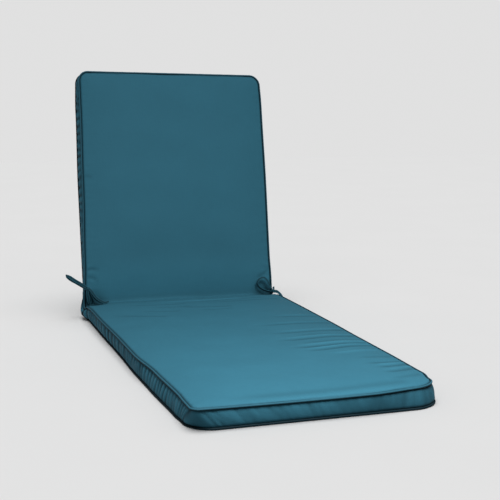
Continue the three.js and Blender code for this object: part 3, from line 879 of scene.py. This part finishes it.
# Steps and ends of a ribbon, the painted shade of its middle and painted highlight of its edges, and how its
# route runs on into the knot
RIBBON_STEP = 0.0016
CURVE_STEPS = 24
RIBBON_ENDS = (0.72, 0.95)
SECTION_GAP = 0.0001
SHORTEST_CORD = 0.048
RIBBON_PAINTED_LIGHT = (-0.9, 1.4)
RIBBON_HIGHLIGHT_EDGE = (0.2, 0.4)
KNOT_REACH = 0.016
INTO_KNOT = 0.55
KNOT_RINGS = 18
KNOT_SIDES = 28
KNOT_CORE = 0.84

# Ridges of a knot: the direction square to each, its width and its height
KNOT_RIDGES = (((0.8, 0, 0.6), 0.26, 1), ((-0.5, 0.3, 0.81), 0.24, 0.9))

# Quarter of the ribbon's section, as shares of its width and thickness, with a groove where it is stitched
QUARTER_SECTION = ((0.12, 0.46), (0.29, 0.5), (0.325, 0.36), (0.36, 0.5), (0.44, 0.49), (0.485, 0.36),
                   (0.5, 0.10))


def smooth_route(points, step):
    """Points a step apart on the centripetal curve through the given ones"""
    known = np.array(points)
    known = np.vstack([2 * known[0] - known[1], known, 2 * known[-1] - known[-2]])
    fine = np.linspace(0, 1, CURVE_STEPS, endpoint=False)[:, None]
    pieces = []
    for p0, p1, p2, p3 in zip(known, known[1:], known[2:], known[3:]):
        d0, d1, d2 = (np.linalg.norm(b - a) ** 0.5 for a, b in ((p0, p1), (p1, p2), (p2, p3)))
        leave = ((p1 - p0) / d0 - (p2 - p0) / (d0 + d1) + (p2 - p1) / d1) * d1
        enter = ((p2 - p1) / d1 - (p3 - p1) / (d1 + d2) + (p3 - p2) / d2) * d1
        pieces.append(p1 + leave * fine + (3 * (p2 - p1) - 2 * leave - enter) * fine ** 2
                      + (2 * (p1 - p2) + leave + enter) * fine ** 3)
    curve = np.vstack([*pieces, known[-2]])
    run = np.concatenate([[0], np.cumsum(np.linalg.norm(np.diff(curve, axis=0), axis=1))])
    count = ceil(run[-1] / step)
    even = np.linspace(0, run[-1], count + 1)
    return np.stack([np.interp(even, run, curve[:, axis]) for axis in range(3)], axis=-1), run[-1]


def ribbon_section():
    """The section's points: the back from right to left, then the front from left to right"""
    quarter = np.array(QUARTER_SECTION)
    front = np.vstack([quarter[::-1] * (-1, 1), quarter])
    return np.vstack([front[::-1] * (1, -1), front])


def ribbon_mesh(route, ribbon, width, thickness):
    """Points, faces, cloth places and painted light and shade of a flat ribbon with closed ends; a loop opens
    like a funnel
    """
    tangents = unit(np.gradient(route, axis=0))
    hint = np.array(ribbon.across) + ribbon.flare * unit(route - route.mean(axis=0))
    wide = square_to(hint, tangents)
    thick = np.cross(tangents, wide)
    section = ribbon_section()
    ends = np.ones(len(route))
    ends[[0, -1]], ends[[1, -2]] = RIBBON_ENDS
    points = (route[:, None] + (section[:, 0] * width * ends[:, None])[..., None] * wide[:, None]
              + (section[:, 1] * thickness * ends[:, None])[..., None] * thick[:, None])
    index = np.arange(points.shape[0] * len(section)).reshape(-1, len(section))
    around = seam_lengths(section[:, 0] * width, section[:, 1] * thickness)
    around = np.append(around, around[-1] + SECTION_GAP)
    run = np.arange(len(route)) * RIBBON_STEP
    places = corners_of(run[:, None] + 0 * around, around + 0 * run[:, None])
    caps = [index[0][::-1], index[-1]]
    faces = [*quads_of(closed_columns(index)), *caps]
    # Painted highlight on the ribbon's edges and painted shade in its middle
    shade = lerp(*RIBBON_PAINTED_LIGHT, ramp(np.abs(section[:, 0]), *RIBBON_HIGHLIGHT_EDGE))
    return points, faces, [places, *(np.zeros((len(cap), 3)) for cap in caps)], shade + 0 * run[:, None]


def knot_mesh(at, size):
    """Lump of a pulled knot: ridged where the ribbon crosses over itself"""
    polar = np.linspace(0, pi, KNOT_RINGS + 1)[1:-1][:, None]
    around = np.linspace(0, 2 * pi, KNOT_SIDES, endpoint=False)
    ball = np.stack(np.broadcast_arrays(np.sin(polar) * np.cos(around), np.sin(polar) * np.sin(around),
                                        np.cos(polar)), axis=-1)
    ridges = [height * bell(ball @ np.array(across), width) for across, width, height in KNOT_RIDGES]
    swell = lerp(KNOT_CORE, 1, np.maximum(*ridges))
    points = (ball * swell[..., None] * np.array(size) / 2 + at).reshape(-1, 3)
    index = np.arange(len(points)).reshape(-1, KNOT_SIDES)
    top, bottom = len(points), len(points) + 1
    pole = np.array((0, 0, KNOT_CORE * size[2] / 2))
    points = np.vstack([points, at + pole, at - pole])
    faces = [*quads_of(closed_columns(index))[:, ::-1]]
    faces += [(top, a, b) for a, b in zip(index[0], np.roll(index[0], -1))]
    faces += [(bottom, b, a) for a, b in zip(index[-1], np.roll(index[-1], -1))]
    return points, faces, [points[k] - at for face in faces for k in face]


def into_knot(route, at):
    """The route with each end that lies beside the knot led on into it"""
    ends = [[lerp(end, np.array(at), INTO_KNOT)] if np.linalg.norm(end - at) < KNOT_REACH else []
            for end in (route[0], route[-1])]
    return np.array([*ends[0], *route, *ends[1]])


def make_ties(context):
    trim = context.scene.cushion_trim
    origin = np.array((0, -Pattern(context.scene).middle, 0))
    finish = cloth_finish("tie_cloth", context.scene.cushion_cloth.tie_colour, 0)
    for side, tie in zip(SIDES, TIES):
        knot = make_object(f"{side}_knot", *knot_mesh(np.array(tie.knot) + origin, tie.size), finish)
        dress(knot, "tie_cloth", f"tie_{side}_knot")
        pieces, cords = [knot], []
        for name, ribbon in tie.ribbons.items():
            route, run = smooth_route(into_knot(np.array(ribbon.route), tie.knot) + origin, RIBBON_STEP)
            *shape, painted_light_values = ribbon_mesh(route, ribbon, trim.tie_width, trim.tie_thickness)
            made = make_object(f"{side}_{name}", *shape, finish, painted_light_values)
            dress(made, "tie_cloth", f"tie_{side}_{name}")
            if "root" in name or run < SHORTEST_CORD:
                pieces.append(made)
            else:
                cords.append((made, route, run))
        for number, (made, route, run) in enumerate(cords):
            pieces if number == 0 else ()


# Finishes

def both_ways(operation):
    """Plain and reflected form of an operator that adds one Math node"""
    def plain(self, other):
        return self.math(operation, self, other)

    def reflected(self, other):
        return self.math(operation, other, self)

    return plain, reflected


class Wire:
    """An output socket that arithmetic can be written with"""

    def __init__(self, finish, socket):
        self.finish = finish
        self.socket = socket

    def math(self, operation, *values):
        return self.finish.node("ShaderNodeMath", {"operation": operation}, dict(enumerate(values)))

    __add__, __radd__ = both_ways("ADD")
    __sub__, __rsub__ = both_ways("SUBTRACT")
    __mul__, __rmul__ = both_ways("MULTIPLY")
    __truediv__, __rtruediv__ = both_ways("DIVIDE")

    def __abs__(self):
        return self.math("ABSOLUTE", self)

    def sine(self):
        return self.math("SINE", self)

    def floor(self):
        return self.math("FLOOR", self)

    def larger(self, other):
        return self.math("MAXIMUM", self, other)


class Finish:
    """The nodes of a material or a room, and the one way in which they are made"""

    def __init__(self, owner):
        owner.use_nodes = True
        self.owner = owner
        self.tree = owner.node_tree
        self.tree.nodes.clear()

    def node(self, kind, settings=None, sockets=None, output=0):
        """A node of a type, with its settings, then the values or links of its sockets; gives one output"""
        made = self.tree.nodes.new(kind)
        for name, value in (settings or {}).items():
            setattr(made, name, value)
        for name, value in (sockets or {}).items():
            if isinstance(value, Wire):
                self.tree.links.new(value.socket, made.inputs[name])
            else:
                made.inputs[name].default_value = value
        return Wire(self, made.outputs[output]) if made.outputs else made

    def place(self):
        return self.node("ShaderNodeAttribute", {"attribute_name": PLACE}, output="Vector")

    def part(self, vector, axis):
        return self.node("ShaderNodeSeparateXYZ", sockets={0: vector}, output=axis)

    def scaled(self, vector, factors):
        return self.node("ShaderNodeVectorMath", {"operation": "MULTIPLY"}, {0: vector, 1: factors})

    def turned(self, vector, heading):
        return self.node("ShaderNodeVectorRotate", {"rotation_type": "Z_AXIS"},
                         {"Vector": vector, "Angle": heading})

    def noise(self, vector, detail=2.0):
        return self.node("ShaderNodeTexNoise", sockets={"Vector": vector, "Scale": 1.0, "Detail": detail},
                         output="Fac")

    def mixed(self, factor, first, second):
        return self.node("ShaderNodeMix", {"data_type": "RGBA"}, {0: factor, 6: first, 7: second}, output=2)

    def bumped(self, height, strength, distance, **normal):
        return self.node("ShaderNodeBump", sockets={"Height": height, "Strength": strength,
                                                    "Distance": distance, **normal})

    def surface(self, sockets):
        """End the material in a principled shader with the given sockets"""
        shader = self.node("ShaderNodeBsdfPrincipled", sockets=sockets)
        self.node("ShaderNodeOutputMaterial", sockets={"Surface": shader})
        return self.owner


def weave_height(finish, place, pitch):
    """Plain weave: warp and weft threads that pass over and under each other"""
    x = finish.part(place, 0) / pitch
    y = finish.part(place, 1) / pitch
    warp = abs((x * pi).sine()) * (0.5 + 0.5 * ((y + x.floor()) * pi).sine())
    weft = abs((y * pi).sine()) * (0.5 + 0.5 * ((x + y.floor() + 1) * pi).sine())
    return warp.larger(weft)


def tinted(colour, factor):
    return (*(min(1, channel * factor) for channel in colour), 1)


# Noise of the cloth, in waves to the metre along and across it, and how far tone, painted light and shade,
# and roughness range
WARP_WAVES = (900, 26, 0)
WEFT_WAVES = (30, 1000, 0)
MOTTLE_WAVES = (9, 9, 0)
CRUMPLE_WAVES = (55, 55, 0)
THREAD_TONE, MOTTLE_TONE, WEAVE_TONE = 0.7, 0.3, 0.10
TONES = (0.78, 1.28)
PAINTED_LIGHT_GAIN = 0.45
LEAST_ROUGH, ROUGH_RANGE = 0.60, 0.2
CRUMPLE_BUMP = (0.35, 0.0012)
WEAVE_BUMP = (0.5, 0.00035)
WEAVE_SHARE, THREAD_SHARE = 0.6, 0.5
CLOTH_SHINE = 0.05
SHEEN_ROUGHNESS = 0.45
SHEEN_TINT = (0.6, 0.9, 1.0, 1.0)


def cloth_finish(name, colour, bias, shine=CLOTH_SHINE):
    """Woven polyester: threads of uneven thickness and tone, with painted shade in hollows and painted
    highlights on ridges
    """
    cloth = bpy.context.scene.cushion_cloth
    finish = Finish(bpy.data.materials.new(name))
    place = finish.turned(finish.place(), bias) if bias else finish.place()
    weave = weave_height(finish, place, cloth.thread_pitch)
    warp_tone = finish.noise(finish.scaled(place, WARP_WAVES))
    weft_tone = finish.noise(finish.scaled(place, WEFT_WAVES))
    mottle = finish.noise(finish.scaled(place, MOTTLE_WAVES), 4.0)
    threads = warp_tone * 0.5 + weft_tone * 0.5
    tone = threads * THREAD_TONE + mottle * MOTTLE_TONE + weave * WEAVE_TONE
    # The stored painted light and shade darkens the base colour in hollows and seams and lightens it on
    # ridges
    shade = finish.node("ShaderNodeAttribute", {"attribute_name": PAINTED_LIGHT_ATTRIBUTE}, output="Fac")
    base = finish.mixed(tone, *(tinted(colour, factor) for factor in TONES))
    base = finish.node("ShaderNodeVectorMath", {"operation": "SCALE"},
                       {0: base, "Scale": 1 + PAINTED_LIGHT_GAIN * shade})
    crumple = finish.bumped(finish.noise(finish.scaled(place, CRUMPLE_WAVES), 3.0), *CRUMPLE_BUMP)
    normal = finish.bumped(weave * WEAVE_SHARE + threads * THREAD_SHARE, *WEAVE_BUMP, Normal=crumple)
    return finish.surface({
        "Base Color": base, "Roughness": LEAST_ROUGH + threads * ROUGH_RANGE, "Normal": normal,
        "Sheen Weight": cloth.sheen, "Sheen Roughness": SHEEN_ROUGHNESS, "Sheen Tint": SHEEN_TINT,
        "Specular IOR Level": shine})


# Studio

# Camera's place, from the point on the ground below the middle of the fold, and the lights, floor and room
CAMERA_PLACE = (-0.895, -3.2531, 0.7248)
SENSOR = 36
FLOOR_SIZE = 14
SUN_PLACE = (0, 0, 3)
SUN_DIRECTION = (0, 0, -1)
SUN_ANGLE = radians(50)
LAMP_PLACE = (0.0, -1.0, 1.15)
LAMP_TARGET = (0.0, -0.30, 0.0)
LAMP_SIZE = 0.7
GRAIN_WAVES = (3, 3, 0)
FLOOR_TONES = (0.985, 1.015)
FLOOR_ROUGHNESS = 0.9
WHITE = (1, 1, 1, 1)


def make_camera(context):
    studio, middle = context.scene.cushion_studio, Pattern(context.scene).middle
    yaw, pitch, roll = studio.camera_yaw, studio.camera_pitch, studio.camera_roll
    ahead = Vector((sin(yaw) * cos(pitch), cos(yaw) * cos(pitch), -sin(pitch)))
    level = Vector((cos(yaw), -sin(yaw), 0))
    down = ahead.cross(level)
    right = level * cos(roll) + down * sin(roll)
    down = down * cos(roll) - level * sin(roll)
    data = bpy.data.cameras.new("photo_camera")
    data.sensor_fit = "HORIZONTAL"
    data.sensor_width = SENSOR
    data.lens = studio.focal_length
    camera = add_object("photo_camera", data)
    turn = Matrix((right, -down, -ahead)).transposed().to_4x4()
    camera.matrix_world = Matrix.Translation(Vector(CAMERA_PLACE) - Vector((0, middle, 0))) @ turn
    context.scene.camera = camera


def add_light(data, place, direction):
    lamp = add_object(data.name, data)
    lamp.location = place
    lamp.rotation_euler = Vector(direction).to_track_quat("-Z", "Y").to_euler()
    return lamp


def make_lights(context):
    """A wide soft light from overhead, and a lamp over the foot that lights the cushion alone"""
    studio = context.scene.cushion_studio
    sun = bpy.data.lights.new("overhead_light", "SUN")
    sun.energy = studio.sun_strength
    sun.angle = SUN_ANGLE
    add_light(sun, SUN_PLACE, SUN_DIRECTION)
    data = bpy.data.lights.new("foot_lamp", "AREA")
    data.shape = "DISK"
    data.size = LAMP_SIZE
    data.energy = studio.lamp_power
    lamp = add_light(data, LAMP_PLACE, Vector(LAMP_TARGET) - Vector(LAMP_PLACE))
    lamp.light_linking.receiver_collection = lit_pieces()


def lit_pieces():
    """Collection of the pieces that the foot lamp lights"""
    return bpy.data.collections.get(LIT) or bpy.data.collections.new(LIT)


def floor_finish(colour):
    finish = Finish(bpy.data.materials.new("floor_paint"))
    place = finish.node("ShaderNodeTexCoord", output="Object")
    grain = finish.noise(finish.scaled(place, GRAIN_WAVES), 3.0)
    base = finish.mixed(grain, *(tinted(colour, factor) for factor in FLOOR_TONES))
    return finish.surface({"Base Color": base, "Roughness": FLOOR_ROUGHNESS})


def make_floor(context):
    half = FLOOR_SIZE / 2
    corners = [(-half, -half, 0), (half, -half, 0), (half, half, 0), (-half, half, 0)]
    mesh = bpy.data.meshes.new("floor")
    mesh.from_pydata(corners, [], [(0, 1, 2, 3)])
    mesh.materials.append(floor_finish(context.scene.cushion_studio.floor_colour))
    add_object("floor", mesh)


def make_room(context):
    """A white room, seen brighter than it lights the cushion so that the floor runs on into it"""
    studio = context.scene.cushion_studio
    room = Finish(bpy.data.worlds.new("studio_room"))
    seen = room.node("ShaderNodeLightPath", output="Is Camera Ray")
    strength = studio.room_light + (studio.backdrop - studio.room_light) * seen
    light = room.node("ShaderNodeBackground", sockets={"Color": WHITE, "Strength": strength})
    room.node("ShaderNodeOutputWorld", sockets={"Surface": light})
    context.scene.world = room.owner
    context.scene.view_settings.view_transform = "Standard"


# Operators, panel and main

class CUSHION_OT_studio(bpy.types.Operator):
    """Set up the camera, the soft light and the pale floor"""
    bl_idname = "cushion.studio"
    bl_label = "Studio"

    def execute(self, context):
        make_camera(context)
        make_lights(context)
        make_room(context)
        make_floor(context)
        return {"FINISHED"}


class CUSHION_OT_ties(bpy.types.Operator):
    """Tie the ribbons at both ends of the fold"""
    bl_idname = "cushion.ties"
    bl_label = "Ties"

    def execute(self, context):
        make_ties(context)
        return {"FINISHED"}


class CUSHION_OT_cover(bpy.types.Operator):
    """Sew the cover: front and rear panels with the boxing between them, padded and folded up at the hip"""
    bl_idname = "cushion.cover"
    bl_label = "Cover"

    def execute(self, context):
        make_cover(context)
        return {"FINISHED"}


class CUSHION_OT_piping(bpy.types.Operator):
    """Lay the corded piping along both seams"""
    bl_idname = "cushion.piping"
    bl_label = "Piping"

    def execute(self, context):
        make_piping(context)
        return {"FINISHED"}


OPERATORS = (CUSHION_OT_studio, CUSHION_OT_ties, CUSHION_OT_cover, CUSHION_OT_piping)
SETTINGS = {"cushion_pad": CUSHION_PG_pad, "cushion_trim": CUSHION_PG_trim, "cushion_cloth": CUSHION_PG_cloth,
            "cushion_studio": CUSHION_PG_studio}


class CUSHION_PT_steps(bpy.types.Panel):
    """Steps that build the cushion, in order"""
    bl_idname = "CUSHION_PT_steps"
    bl_label = "Sun Lounger Cushion"
    bl_space_type = "VIEW_3D"
    bl_region_type = "UI"
    bl_category = "Cushion"

    def draw(self, context):
        for name, group in SETTINGS.items():
            box = self.layout.box()
            box.label(text=group.__doc__)
            for field in group.__annotations__:
                box.prop(getattr(context.scene, name), field)
        for operator in OPERATORS:
            self.layout.operator(operator.bl_idname)


CLASSES = (*SETTINGS.values(), *OPERATORS, CUSHION_PT_steps)


def register():
    for each in CLASSES:
        bpy.utils.register_class(each)
    for name, group in SETTINGS.items():
        setattr(bpy.types.Scene, name, PointerProperty(type=group))


def unregister():
    for name in SETTINGS:
        delattr(bpy.types.Scene, name)
    for each in reversed(CLASSES):
        bpy.utils.unregister_class(each)


def main():
    register()
    bpy.ops.cushion.studio()
    bpy.ops.cushion.ties()
    bpy.ops.cushion.cover()
    bpy.ops.cushion.piping()


if __name__ == "__main__":
    main()
